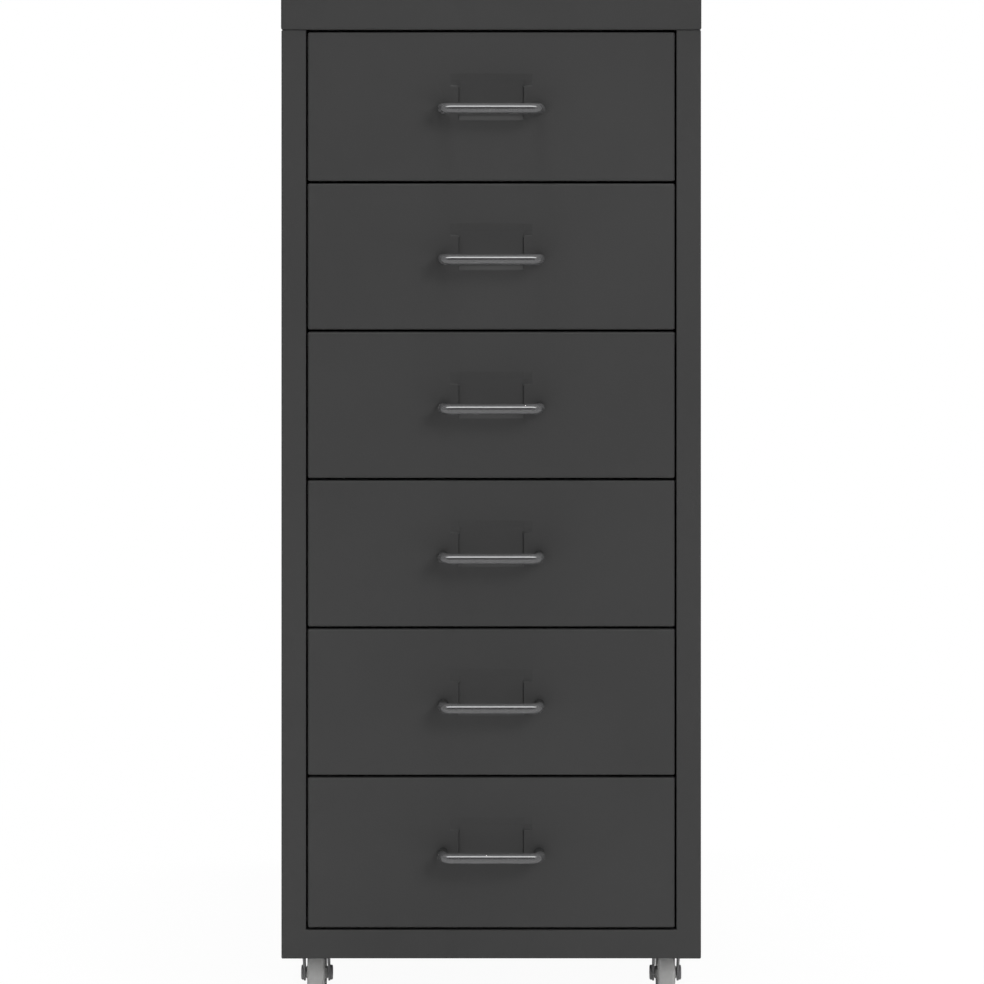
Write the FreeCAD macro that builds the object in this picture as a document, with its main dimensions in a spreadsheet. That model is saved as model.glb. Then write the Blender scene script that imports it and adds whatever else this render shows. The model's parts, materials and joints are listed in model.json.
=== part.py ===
import FreeCAD, Part
import math
import os
import re
import Sketcher

# A small drawer cabinet of folded steel sheet on four swivel casters: a case of two side
# panels, a back, a base and a top cover, and drawers that slide in channel runners.
# Millimetres, +Z up, front towards -Y. The origin is on the floor, under the middle of the
# cabinet's outline with its handles and screw heads. Each piece is drawn with y = 0 on the
# front of the case, or about its own axis, and its Placement takes it to its place.

DRAWERS = 6
TOUCH = 1e-4
REAR_SCREW_HEIGHT_SHARES = (0.1, 0.5, 0.9)
BASE_SCREW_WIDTH_SHARE = 0.5
COVER_SCREW_DEPTH_SHARES = (0.15, 0.85)

SIZES = {
    # case
    "total_height": 690.0,
    "case_width": 280.0,
    "case_depth": 402.0,
    "sheet_gauge": 0.8,
    "fold_radius": 1.5,
    "cover_height": 32.8,
    "cover_proud": 0.3,
    "cover_return": 14.0,
    "flange_width": 16.4,
    "flange_return": 24.0,
    "foot_flange": 5.0,
    "apron_height": 19.1,
    "apron_return": 4.0,
    "base_skirt": 12.0,
    "seam_gap": 0.3,
    # drawer front
    "front_gap": 1.4,
    "front_side_gap": 1.1,
    "front_return": 10.0,
    "top_front_extra": 1.8,
    "bottom_front_extra": 2.7,
    # card holder pressed into the drawer front
    "card_flap_width": 43.0,
    "card_shoulder_width": 6.0,
    "card_slit": 0.3,
    "card_recess": 1.4,
    "card_top_rise": 23.3,
    "card_top_slope": 4.7,
    "card_mouth_height": 2.6,
    "card_shoulder_slope": 1.4,
    "card_bottom_drop": 7.5,
    "card_bottom_slope": 2.6,
    # drawer tray
    "tray_gauge": 0.8,
    "tray_floor_rise": 2.5,
    "tray_rim_drop": 8.0,
    "tray_back_gap": 12.0,
    "tray_tab": 12.0,
    "lip_setback": 1.0,
    "lip_side_gap": 0.4,
    "stop_ear_height": 5.0,
    "drawer_travel": 300.0,
    # runner
    "runner_gauge": 1.0,
    "runner_leg": 8.0,
    "runner_channel": 7.0,
    "runner_setback": 2.0,
    "runner_wall_gap": 1.0,
    "slide_gap": 0.3,
    "stop_gap": 0.5,
    "stop_pass_gap": 1.4,
    # handle
    "handle_wire": 7.0,
    "handle_centres": 64.0,
    "handle_projection": 25.0,
    "handle_bend": 6.5,
    "handle_drop": 1.4,
    "handle_seat_gap": 0.1,
    "handle_bore_depth": 9.0,
    # screws
    "screw_diameter": 4.0,
    "screw_length": 8.0,
    "screw_head_diameter": 8.0,
    "screw_head_height": 2.2,
    "screw_head_round": 1.0,
    "screw_recess_length": 4.6,
    "screw_recess_width": 1.0,
    "screw_recess_depth": 1.3,
    "screw_hole_clearance": 0.1,
    "thread_clearance": 0.05,
    # casters
    "caster_side_inset": 21.8,
    "caster_end_inset": 34.5,
    "caster_trail": 16.0,
    "wheel_diameter": 38.0,
    "wheel_width": 12.2,
    "wheel_headroom": 1.0,
    "wheel_edge_radius": 1.2,
    "wheel_rim_thickness": 3.6,
    "wheel_web_thickness": 6.0,
    "wheel_hub_diameter": 8.0,
    "hub_end_gap": 0.3,
    "pivot_clearance": 0.05,
    "axle_diameter": 4.0,
    "axle_head_diameter": 10.0,
    "axle_head_height": 1.8,
    "axle_head_round": 0.9,
    "fork_width": 17.8,
    "fork_gauge": 1.2,
    "fork_crown_gap": 2.2,
    "fork_crown_length": 24.0,
    "fork_crown_gauge": 1.6,
    "fork_end_radius": 5.6,
    "race_diameter": 24.0,
    "race_height": 3.2,
    "race_gap": 0.3,
    "race_edge_radius": 1.0,
    "kingpin_diameter": 6.0,
    "kingpin_head_diameter": 10.0,
    "kingpin_head_height": 1.6,
    "stem_diameter": 8.0,
    "stem_clearance": 0.2,
    "collar_flats": 14.0,
    "nut_flats": 13.0,
    "nut_height": 5.0,
}

doc = FreeCAD.newDocument("drawer_cabinet")
sheet = doc.addObject("Spreadsheet::Sheet", "Sizes")
for row, (alias, size) in enumerate(SIZES.items(), start=1):
    sheet.set(f"A{row}", alias)
    sheet.set(f"B{row}", str(size))
    sheet.setAlias(f"B{row}", alias)
doc.recompute()

# Places that follow from the sizes, as expressions

case_y = "((handle_projection - case_depth - sheet_gauge - screw_head_height) / 2)"
half_body = "(case_width / 2 - cover_proud)"
half_opening = f"({half_body} - flange_width)"
apron_bottom = "(wheel_diameter + wheel_headroom)"
base_top = f"({apron_bottom} + apron_height)"
cover_bottom = "(total_height - cover_height)"
bay_height = f"({cover_bottom} - {base_top})"
fronts_height = f"({bay_height} - {DRAWERS + 1} * front_gap - top_front_extra - bottom_front_extra)"
front_height = f"({fronts_height} / {DRAWERS})"
half_front = f"({half_opening} - front_side_gap)"

runner_front = "(front_return + runner_setback)"
tray_back = "(case_depth - tray_back_gap)"
runner_back = f"({tray_back} + stop_gap + runner_gauge)"
runner_tip = f"({half_opening} - runner_gauge - runner_leg)"
tray_wall = f"({runner_tip} - runner_wall_gap)"
lip_edge = f"({half_opening} - runner_gauge - lip_side_gap)"
tray_rim = f"({front_height} - tray_rim_drop)"
shelf_top = f"({tray_rim} - tray_gauge - slide_gap)"
stop_ear = f"({runner_front} + runner_gauge + drawer_travel + stop_gap)"

handle_reach = "(handle_projection - handle_wire / 2)"
axle_height = "(wheel_diameter / 2)"
crown_bottom = "(wheel_diameter + fork_crown_gap)"
race_bottom = f"({crown_bottom} + fork_crown_gauge)"
upper_race_bottom = f"({race_bottom} + race_height + race_gap)"
fork_inside = "(fork_width / 2 - fork_gauge)"
screw_hole = "(screw_diameter + 2 * screw_hole_clearance)"
rear_screw_x = f"({half_body} - flange_width / 2)"
rear_screw_heights = [
    f"({base_top} + {share} * {bay_height})" for share in REAR_SCREW_HEIGHT_SHARES
]
base_screw_x = f"({BASE_SCREW_WIDTH_SHARE} * {half_opening})"
base_screw_height = f"({base_top} - apron_height / 2)"
cover_screw_depths = [f"({share} * case_depth)" for share in COVER_SCREW_DEPTH_SHARES]
caster_x = "(case_width / 2 - caster_side_inset)"


def bound(text):
    """An expression whose size names point to their cells."""
    return re.sub(r"[a-z_]+", lambda word: f"Sizes.{word[0]}" if word[0] in SIZES else word[0], text)


def value(text):
    """The number that an expression of sizes gives now."""
    return float(sheet.evalExpression(bound(text)))


# Each plane's origin feature, and which way its normal runs along the axis it is square to

PLANES = {"XY": ("XY_Plane", 1), "XZ": ("XZ_Plane", -1), "YZ": ("YZ_Plane", 1)}


def origin_feature(body, role):
    return next(feature for feature in body.Origin.OriginFeatures if feature.Role == role)


def new_body(label, x="0", y=case_y, z="0", turned=False):
    """A body at x, y, z, turned half round about Z where asked."""
    body = doc.addObject("PartDesign::Body", label)
    body.Label = label
    if turned:
        body.Placement = FreeCAD.Placement(FreeCAD.Vector(), FreeCAD.Rotation(FreeCAD.Vector(0, 0, 1), 180))
    place(body, x, y, z)
    return body


def place(item, x, y, z):
    for axis, text in zip("xyz", (x, y, z)):
        item.setExpression(f"Placement.Base.{axis}", bound(text))


def sketch_on(body, plane, start):
    """An empty sketch square to the plane's third axis, at start along it."""
    role, normal = PLANES[plane]
    sketch = body.newObject("Sketcher::SketchObject", "Sketch")
    sketch.AttachmentSupport = (origin_feature(body, role), "")
    sketch.MapMode = "FlatFace"
    sketch.setExpression("AttachmentOffset.Base.z", bound(f"{normal} * ({start})"))
    return sketch


def fix(sketch, rule, text):
    """A dimension of the sketch that follows an expression."""
    number = sketch.addConstraint(Sketcher.Constraint(*rule, value(text)))
    sketch.setExpression(f"Constraints[{number}]", bound(text))


def fix_point(sketch, geometry, point, u, v):
    fix(sketch, ("DistanceX", -1, 1, geometry, point), u)
    fix(sketch, ("DistanceY", -1, 1, geometry, point), v)


def outline(sketch, points):
    """A closed outline through points, each a pair of expressions."""
    corners = [FreeCAD.Vector(value(u), value(v), 0) for u, v in points]
    count = len(points)
    for index in range(count):
        sketch.addGeometry(Part.LineSegment(corners[index], corners[(index + 1) % count]), False)
    for index in range(count):
        sketch.addConstraint(Sketcher.Constraint("Coincident", index, 2, (index + 1) % count, 1))
    for index, (u, v) in enumerate(points):
        fix_point(sketch, index, 1, u, v)


def rectangle(u_from, u_to, v_from, v_to):
    return [(u_from, v_from), (u_to, v_from), (u_to, v_to), (u_from, v_to)]


def circle(sketch, u, v, diameter):
    centre = FreeCAD.Vector(value(u), value(v), 0)
    normal = FreeCAD.Vector(0, 0, 1)
    number = sketch.addGeometry(Part.Circle(centre, normal, value(diameter) / 2), False)
    fix_point(sketch, number, 3, u, v)
    fix(sketch, ("Diameter", number), diameter)


def extrude(kind, body, plane, start, length, points=(), circles=()):
    """A pad or pocket from start, length long, towards the positive axis."""
    sketch = sketch_on(body, plane, start)
    if points:
        outline(sketch, points)
    for u, v, diameter in circles:
        circle(sketch, u, v, diameter)
    feature = body.newObject(f"PartDesign::{kind}", kind)
    feature.Profile = sketch
    feature.setExpression("Length", bound(length))
    feature.Reversed = (PLANES[plane][1] < 0) == (kind == "Pad")
    return feature


def pad(body, plane, start, length, points=(), circles=()):
    return extrude("Pad", body, plane, start, length, points, circles)


def pocket(body, plane, start, length, points=(), circles=()):
    doc.recompute()
    before = body.Shape.Volume
    feature = extrude("Pocket", body, plane, start, length, points, circles)
    doc.recompute()
    if not body.Shape.Volume < before:
        raise RuntimeError(f"{body.Label}: a pocket cuts nothing")
    return feature


def revolve(body, plane, axis, points):
    """A full turn of an outline about one of the body's own axes."""
    sketch = sketch_on(body, plane, "0")
    outline(sketch, points)
    feature = body.newObject("PartDesign::Revolution", "Revolution")
    feature.Profile = sketch
    feature.ReferenceAxis = (origin_feature(body, axis), [""])
    feature.Angle = 360
    return feature


def loft(body, plane, *sections):
    """A solid drawn straight from one section to the next, each a place and its outline."""
    sketches = []
    for start, points in sections:
        sketches.append(sketch_on(body, plane, start))
        outline(sketches[-1], points)
    feature = body.newObject("PartDesign::AdditiveLoft", "Loft")
    feature.Profile = sketches[0]
    feature.Sections = sketches[1:]
    feature.Ruled = True
    return feature


def round_edges(body, radius, wanted):
    """Rounds the edges of the body's shape that wanted picks."""
    doc.recompute()
    base = body.Tip
    names = [f"Edge{number}" for number, edge in enumerate(base.Shape.Edges, start=1) if wanted(edge)]
    if not names:
        raise RuntimeError(f"{body.Label}: there is no edge to round")
    feature = body.newObject("PartDesign::Fillet", "Fillet")
    feature.Base = (base, names)
    feature.setExpression("Radius", bound(radius))
    return feature


def lies_on(edge, **levels):
    """Whether an edge lies wholly at the given x, y or z."""
    box = edge.BoundBox
    return all(
        abs(getattr(box, f"{axis.upper()}{end}") - level) < TOUCH
        for axis, level in levels.items()
        for end in ("Min", "Max")
    )


def runs_along(edge, axis):
    box = edge.BoundBox
    spans = {"x": box.XLength, "y": box.YLength, "z": box.ZLength}
    return all(span < TOUCH for name, span in spans.items() if name != axis)


def runs_in_plane(edge):
    """Whether an edge lies square to the X axis."""
    return edge.BoundBox.XLength < TOUCH


# Case


def side_panel(label, side):
    """A folded side: skin, front and rear flanges with returns, top flange and foot flange."""
    body = new_body(label)
    outside = f"{side} * {half_body}"
    inside = f"{side} * ({half_body} - sheet_gauge)"
    opening = f"{side} * {half_opening}"
    opening_back = f"{side} * ({half_opening} + sheet_gauge)"
    foot_edge = f"{side} * ({half_body} - foot_flange)"
    height = f"{cover_bottom} - {apron_bottom}"
    section = [
        (outside, "0"),
        (outside, "case_depth"),
        (opening, "case_depth"),
        (opening, "case_depth - sheet_gauge"),
        (inside, "case_depth - sheet_gauge"),
        (inside, "sheet_gauge"),
        (opening, "sheet_gauge"),
        (opening, "0"),
    ]
    pad(body, "XY", apron_bottom, height, section)
    round_edges(
        body,
        "fold_radius",
        lambda edge: runs_along(edge, "z") and lies_on(edge, x=value(outside)),
    )
    return_bottom = f"({base_top} + seam_gap)"
    return_height = f"{cover_bottom} - {return_bottom}"
    front_return_plan = rectangle(opening, opening_back, "0", "flange_return")
    rear_return_plan = rectangle(opening, opening_back, "case_depth - flange_return", "case_depth")
    pad(body, "XY", return_bottom, return_height, front_return_plan)
    pad(body, "XY", return_bottom, return_height, rear_return_plan)
    top_plan = rectangle(opening, inside, "sheet_gauge", "case_depth - sheet_gauge")
    pad(body, "XY", f"{cover_bottom} - sheet_gauge", "sheet_gauge", top_plan)
    foot_plan = rectangle(foot_edge, inside, "sheet_gauge", "case_depth - sheet_gauge")
    pad(body, "XY", apron_bottom, "sheet_gauge", foot_plan)
    rear_holes = [(f"{side} * {rear_screw_x}", z, screw_hole) for z in rear_screw_heights]
    pocket(body, "XZ", "case_depth - sheet_gauge", "sheet_gauge", circles=rear_holes)
    cover_holes = [(f"{side} * {rear_screw_x}", y, screw_hole) for y in cover_screw_depths]
    pocket(body, "XY", f"{cover_bottom} - sheet_gauge", "sheet_gauge", circles=cover_holes)


def top_cover():
    """A shallow box, open below inside its own return, that stands on the side panels."""
    body = new_body("top_cover")
    half = "case_width / 2"
    back = "case_depth + sheet_gauge + cover_proud"
    plan = rectangle(f"-({half})", half, "-cover_proud", back)
    pad(body, "XY", cover_bottom, "cover_height", plan)
    low = value(cover_bottom)
    round_edges(body, "fold_radius", lambda edge: not lies_on(edge, z=low))
    inner = f"{half} - sheet_gauge"
    room = rectangle(f"-({inner})", inner, "sheet_gauge - cover_proud", f"{back} - sheet_gauge")
    pocket(body, "XY", f"{cover_bottom} + sheet_gauge", "cover_height - 2 * sheet_gauge", room)
    edge = f"{half} - cover_return"
    mouth = rectangle(f"-({edge})", edge, "cover_return - cover_proud", f"{back} - cover_return")
    pocket(body, "XY", cover_bottom, "sheet_gauge", mouth)
    holes = [
        (f"{side} * {rear_screw_x}", y, screw_hole) for side in (-1, 1) for y in cover_screw_depths
    ]
    pocket(body, "XY", cover_bottom, "sheet_gauge", circles=holes)


def back_panel():
    body = new_body("back_panel")
    half = f"({half_body} - seam_gap)"
    height = f"{cover_bottom} - {apron_bottom}"
    plan = rectangle(f"-{half}", half, "case_depth", "case_depth + sheet_gauge")
    pad(body, "XY", apron_bottom, height, plan)
    holes = [(f"{side} * {rear_screw_x}", z, screw_hole) for side in (-1, 1) for z in rear_screw_heights]
    holes += [(f"{side} * {base_screw_x}", base_screw_height, screw_hole) for side in (-1, 1)]
    pocket(body, "XZ", "case_depth", "sheet_gauge", circles=holes)


def base_panel():
    """The floor of the case, with the apron in front, and skirts at its sides and back."""
    body = new_body("base_panel")
    wide = f"({half_body} - sheet_gauge)"
    narrow = f"({half_opening} - seam_gap)"
    far = "case_depth - sheet_gauge"
    plan = [
        (f"-{wide}", "sheet_gauge"),
        (f"-{narrow}", "sheet_gauge"),
        (f"-{narrow}", "0"),
        (narrow, "0"),
        (narrow, "sheet_gauge"),
        (wide, "sheet_gauge"),
        (wide, far),
        (narrow, far),
        (narrow, "case_depth"),
        (f"-{narrow}", "case_depth"),
        (f"-{narrow}", far),
        (f"-{wide}", far),
    ]
    pad(body, "XY", f"{base_top} - sheet_gauge", "sheet_gauge", plan)
    for y in ("0", far):
        wall = rectangle(f"-{narrow}", narrow, y, f"{y} + sheet_gauge")
        pad(body, "XY", apron_bottom, "apron_height", wall)
    pad(body, "XY", apron_bottom, "sheet_gauge", rectangle(f"-{narrow}", narrow, "0", "apron_return"))
    for side in (-1, 1):
        skirt = rectangle(f"{side} * {wide}", f"{side} * ({wide} - sheet_gauge)", "sheet_gauge", far)
        pad(body, "XY", f"{base_top} - base_skirt", "base_skirt", skirt)
    levels = (value(base_top), value(apron_bottom))
    round_edges(
        body,
        "fold_radius",
        lambda edge: runs_along(edge, "x") and any(lies_on(edge, y=0, z=level) for level in levels),
    )
    stems = [
        (f"{side} * {caster_x}", y, "stem_diameter + 2 * stem_clearance")
        for side in (-1, 1)
        for y in ("caster_end_inset", "case_depth - caster_end_inset")
    ]
    pocket(body, "XY", f"{base_top} - sheet_gauge", "sheet_gauge", circles=stems)
    holes = [(f"{side} * {base_screw_x}", base_screw_height, screw_hole) for side in (-1, 1)]
    pocket(body, "XZ", far, "sheet_gauge", circles=holes)


# Runners and drawers


def runner(label, side, level):
    """A channel on the side panel's returns, closed behind, with a stop tab at its mouth."""
    body = new_body(label, z=level)
    web = f"{side} * {half_opening}"
    web_face = f"{side} * ({half_opening} - runner_gauge)"
    tip = f"{side} * {runner_tip}"
    roof = f"({shelf_top} + runner_channel)"
    length = f"{runner_back} - {runner_front}"
    section = [
        (web, f"{shelf_top} - runner_gauge"),
        (tip, f"{shelf_top} - runner_gauge"),
        (tip, shelf_top),
        (web_face, shelf_top),
        (web_face, roof),
        (tip, roof),
        (tip, f"{roof} + runner_gauge"),
        (web, f"{roof} + runner_gauge"),
    ]
    pad(body, "XZ", runner_front, length, section)
    stop = rectangle(tip, web_face, f"{tray_rim} + stop_pass_gap", roof)
    pad(body, "XZ", runner_front, "runner_gauge", stop)
    end = rectangle(tip, web_face, shelf_top, roof)
    pad(body, "XZ", f"{runner_back} - runner_gauge", "runner_gauge", end)


def drawer_front(label, level, low, high, grip):
    """A pan with its card holder: a flap pushed back between two slits, under a wider mouth.

    The mouth's shoulders are drawn back beside the flap and run out to the face at their far sides.
    """
    body = new_body(label, z=level)
    face = rectangle(f"-{half_front}", half_front, low, high)
    pad(body, "XZ", "0", "front_return", face)
    depth = value("front_return")
    round_edges(body, "fold_radius", lambda edge: not lies_on(edge, y=depth))
    half_room = f"({half_front} - sheet_gauge)"
    room = rectangle(f"-{half_room}", half_room, f"{low} + sheet_gauge", f"{high} - sheet_gauge")
    pocket(body, "XZ", "sheet_gauge", "front_return - sheet_gauge", room)

    flap = "(card_flap_width / 2)"
    slit = f"({flap} + card_slit)"
    shoulder = f"({flap} + card_shoulder_width)"
    top = f"({grip} + card_top_rise)"
    pocket_top = f"({top} - card_top_slope)"
    mouth = f"({pocket_top} - card_mouth_height)"
    shoulder_end = f"({mouth} - card_shoulder_slope)"
    bottom = f"({grip} - card_bottom_drop)"
    window = [
        (f"-{slit}", bottom),
        (slit, bottom),
        (slit, shoulder_end),
        (shoulder, shoulder_end),
        (shoulder, top),
        (f"-{shoulder}", top),
        (f"-{shoulder}", shoulder_end),
        (f"-{slit}", shoulder_end),
    ]
    holes = [(f"{side} * handle_centres / 2", grip, screw_hole) for side in (-1, 1)]
    pocket(body, "XZ", "0", "sheet_gauge", window)
    pocket(body, "XZ", "0", "sheet_gauge", circles=holes)

    def pressed(depth, lower_bend, lower_end):
        """The section of sheet pressed back by a depth, down to where it meets the face again."""
        front = [("0", top), (depth, pocket_top), (depth, lower_bend), ("0", lower_end)]
        return front + [(f"{y} + sheet_gauge", z) for y, z in reversed(front)]

    flap_section = pressed("card_recess", f"{bottom} + card_bottom_slope", bottom)
    pad(body, "YZ", f"-{flap}", "card_flap_width", flap_section)
    deep = pressed("card_recess", mouth, shoulder_end)
    flush = pressed("0", mouth, shoulder_end)
    for side in (-1, 1):
        loft(body, "YZ", (f"{side} * {flap}", deep), (f"{side} * {shoulder}", flush))


def drawer_tray(label, level):
    """The box of the drawer: floor, walls and back, with lips that run in the channels."""
    body = new_body(label, z=level)
    wall_face = f"({tray_wall} - tray_gauge)"
    floor = "tray_floor_rise"
    floor_top = f"({floor} + tray_gauge)"
    near = "sheet_gauge"
    section = [
        (f"-{tray_wall}", floor),
        (tray_wall, floor),
        (tray_wall, tray_rim),
        (wall_face, tray_rim),
        (wall_face, floor_top),
        (f"-{wall_face}", floor_top),
        (f"-{wall_face}", tray_rim),
        (f"-{tray_wall}", tray_rim),
    ]
    pad(body, "XZ", near, f"{tray_back} - {near}", section)
    back = rectangle(f"-{wall_face}", wall_face, floor_top, tray_rim)
    pad(body, "XZ", f"{tray_back} - tray_gauge", "tray_gauge", back)
    floor_tab = rectangle(f"-{wall_face}", wall_face, floor_top, f"{floor_top} + tray_tab")
    pad(body, "XZ", near, "tray_gauge", floor_tab)
    lip_front = "front_return + lip_setback"
    for side in (-1, 1):
        inner = f"{side} * {wall_face}"
        outer = f"{side} * {tray_wall}"
        wall_tab = rectangle(f"{side} * ({wall_face} - tray_tab)", inner, floor_top, tray_rim)
        pad(body, "XZ", near, "tray_gauge", wall_tab)
        lip = rectangle(outer, f"{side} * {lip_edge}", lip_front, tray_back)
        pad(body, "XY", f"{tray_rim} - tray_gauge", "tray_gauge", lip)
        ear = rectangle(
            f"{side} * {runner_tip}", f"{side} * {lip_edge}", tray_rim, f"{tray_rim} + stop_ear_height"
        )
        pad(body, "XZ", stop_ear, "tray_gauge", ear)


def handle(label, level):
    """A wire bow with a screw bore in each end, about its own middle on the drawer's face."""
    body = new_body(label, z=level)
    half = "(handle_centres / 2)"
    seat = "-handle_seat_gap"
    ends = [f"-{half}", half]
    line = sketch_on(body, "XY", "0")
    wide = value(half)
    foot = value(seat)
    reach = value(handle_reach)
    bend = value("handle_bend")
    up = FreeCAD.Vector(0, 0, 1)
    corners = [FreeCAD.Vector(bend - wide, bend - reach, 0), FreeCAD.Vector(wide - bend, bend - reach, 0)]
    left = [FreeCAD.Vector(-wide, foot, 0), FreeCAD.Vector(-wide, bend - reach, 0)]
    bar = [FreeCAD.Vector(bend - wide, -reach, 0), FreeCAD.Vector(wide - bend, -reach, 0)]
    right = [FreeCAD.Vector(wide, bend - reach, 0), FreeCAD.Vector(wide, foot, 0)]
    line.addGeometry(Part.LineSegment(*left), False)
    line.addGeometry(Part.ArcOfCircle(Part.Circle(corners[0], up, bend), math.pi, 1.5 * math.pi), False)
    line.addGeometry(Part.LineSegment(*bar), False)
    line.addGeometry(Part.ArcOfCircle(Part.Circle(corners[1], up, bend), 1.5 * math.pi, 2 * math.pi), False)
    line.addGeometry(Part.LineSegment(*right), False)
    for index in range(4):
        line.addConstraint(Sketcher.Constraint("Tangent", index, 2, index + 1, 1))
    line.addConstraint(Sketcher.Constraint("Vertical", 0))
    line.addConstraint(Sketcher.Constraint("Horizontal", 2))
    line.addConstraint(Sketcher.Constraint("Equal", 1, 3))
    fix_point(line, 0, 1, ends[0], seat)
    fix_point(line, 4, 2, ends[1], seat)
    fix(line, ("DistanceY", -1, 1, 2, 1), f"-{handle_reach}")
    fix(line, ("Radius", 1), "handle_bend")
    ring = sketch_on(body, "XZ", seat)
    circle(ring, f"-{half}", "0", "handle_wire")
    wire = body.newObject("PartDesign::AdditivePipe", "Pipe")
    wire.Profile = ring
    wire.Spine = (line, [])
    bores = [(x, "0", "screw_diameter + 2 * thread_clearance") for x in ends]
    pocket(body, "XZ", "-handle_bore_depth", "handle_bore_depth", circles=bores)


# Casters, each about its swivel axis on the floor, with the wheel trailing towards +Y


def caster_mount(label, place_at):
    """The fixed half of a caster: stem, hexagon collar, upper race and kingpin."""
    body = new_body(label, **place_at)
    pin = "kingpin_diameter / 2"
    head = "kingpin_head_diameter / 2"
    race = "race_diameter / 2"
    head_top = f"({crown_bottom} - race_gap)"
    head_bottom = f"({head_top} - kingpin_head_height)"
    collar_bottom = f"({upper_race_bottom} + race_height)"
    collar_top = f"({base_top} - sheet_gauge)"
    stem_top = f"({base_top} + nut_height)"
    section = [
        ("0", head_bottom),
        (head, head_bottom),
        (head, head_top),
        (pin, head_top),
        (pin, upper_race_bottom),
        (race, upper_race_bottom),
        (race, collar_bottom),
        ("stem_diameter / 2", collar_bottom),
        ("stem_diameter / 2", stem_top),
        ("0", stem_top),
    ]
    revolve(body, "XZ", "Z_Axis", section)
    round_top = value(collar_bottom)
    wide = value(race)
    round_edges(
        body,
        "race_edge_radius",
        lambda edge: lies_on(edge, z=round_top) and abs(edge.BoundBox.XMax - wide) < TOUCH,
    )
    pad(body, "XY", collar_bottom, f"{collar_top} - {collar_bottom}", hexagon("collar_flats"))


def caster_fork(label, place_at):
    """The swivelling half: crown with its lower race, and two legs that hold the axle."""
    body = new_body(label, **place_at)
    half_crown = "fork_crown_length / 2"
    legs = [
        (f"-{half_crown}", race_bottom),
        (f"-{half_crown}", crown_bottom),
        ("caster_trail - fork_end_radius", axle_height),
        ("caster_trail + fork_end_radius", axle_height),
        (half_crown, crown_bottom),
        (half_crown, race_bottom),
    ]
    pad(body, "YZ", "-fork_width / 2", "fork_width", legs)
    boss = [("caster_trail", axle_height, "2 * fork_end_radius")]
    pad(body, "YZ", "-fork_width / 2", "fork_width", circles=boss)
    throat = rectangle(f"-{fork_inside}", fork_inside, "0", crown_bottom)
    pocket(body, "XZ", f"-{half_crown}", "caster_trail + fork_end_radius + fork_crown_length", throat)
    pad(body, "XY", race_bottom, "race_height", circles=[("0", "0", "race_diameter")])
    top = value(f"{race_bottom} + race_height")
    round_edges(body, "race_edge_radius", lambda edge: lies_on(edge, z=top))
    pin_hole = [("0", "0", "kingpin_diameter + 2 * pivot_clearance")]
    pocket(body, "XY", crown_bottom, "fork_crown_gauge + race_height", circles=pin_hole)
    axle_hole = [("caster_trail", axle_height, "axle_diameter + 2 * pivot_clearance")]
    pocket(body, "YZ", "-fork_width / 2", "fork_width", circles=axle_hole)


def caster_axle(label, place_at):
    """A rivet with a rounded head at both ends, outside the fork's legs."""
    body = new_body(label, **place_at)
    pin = "axle_diameter / 2"
    head = "axle_head_diameter / 2"
    leg = "fork_width / 2"
    end = f"({leg} + axle_head_height)"
    section = [
        (f"-{end}", "0"),
        (f"-{end}", head),
        (f"-{leg}", head),
        (f"-{leg}", pin),
        (leg, pin),
        (leg, head),
        (end, head),
        (end, "0"),
    ]
    revolve(body, "XY", "X_Axis", section)
    outer = value(end)
    round_edges(
        body,
        "axle_head_round",
        lambda edge: lies_on(edge, x=outer) or lies_on(edge, x=-outer),
    )


def caster_wheel(label, place_at):
    """A moulded wheel: rim, thinner web, and a hub nearly as long as the fork is wide inside."""
    body = new_body(label, **place_at)
    bore = "(axle_diameter / 2 + pivot_clearance)"
    hub_end = f"({fork_inside} - hub_end_gap)"
    hub = "wheel_hub_diameter / 2"
    web = "wheel_web_thickness / 2"
    rim_inside = "(wheel_diameter / 2 - wheel_rim_thickness)"
    rim_end = "wheel_width / 2"
    right = [
        (hub_end, bore),
        (hub_end, hub),
        (web, hub),
        (web, rim_inside),
        (rim_end, rim_inside),
        (rim_end, "wheel_diameter / 2"),
    ]
    left = [(f"-({x})", radius) for x, radius in reversed(right)]
    revolve(body, "XY", "X_Axis", right + left)
    tread = value("wheel_diameter / 2")
    round_edges(
        body,
        "wheel_edge_radius",
        lambda edge: abs(edge.BoundBox.ZMax - tread) < TOUCH and runs_in_plane(edge),
    )


def caster(name, x, y, turned):
    """The four pieces of one caster, at its place under the case."""
    trail = "-caster_trail" if turned else "caster_trail"
    at_swivel = {"x": x, "y": y, "turned": turned}
    at_axle = {"x": x, "y": f"{y} + {trail}", "z": axle_height, "turned": turned}
    caster_mount(f"{name}_mount", at_swivel)
    caster_fork(f"{name}_fork", at_swivel)
    caster_axle(f"{name}_axle", at_axle)
    caster_wheel(f"{name}_wheel", at_axle)


# Fasteners: one screw and one nut are drawn, and each group holds them where they are used


def hexagon(flats):
    """The outline of a hexagon with two of its flats square to X."""
    half = f"({flats} / 2)"
    corner = f"({flats} / 2 * tan(30))"
    point = f"({flats} / 2 / cos(30))"
    return [
        (half, f"-{corner}"),
        (half, corner),
        ("0", point),
        (f"-{half}", corner),
        (f"-{half}", f"-{corner}"),
        ("0", f"-{point}"),
    ]


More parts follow.
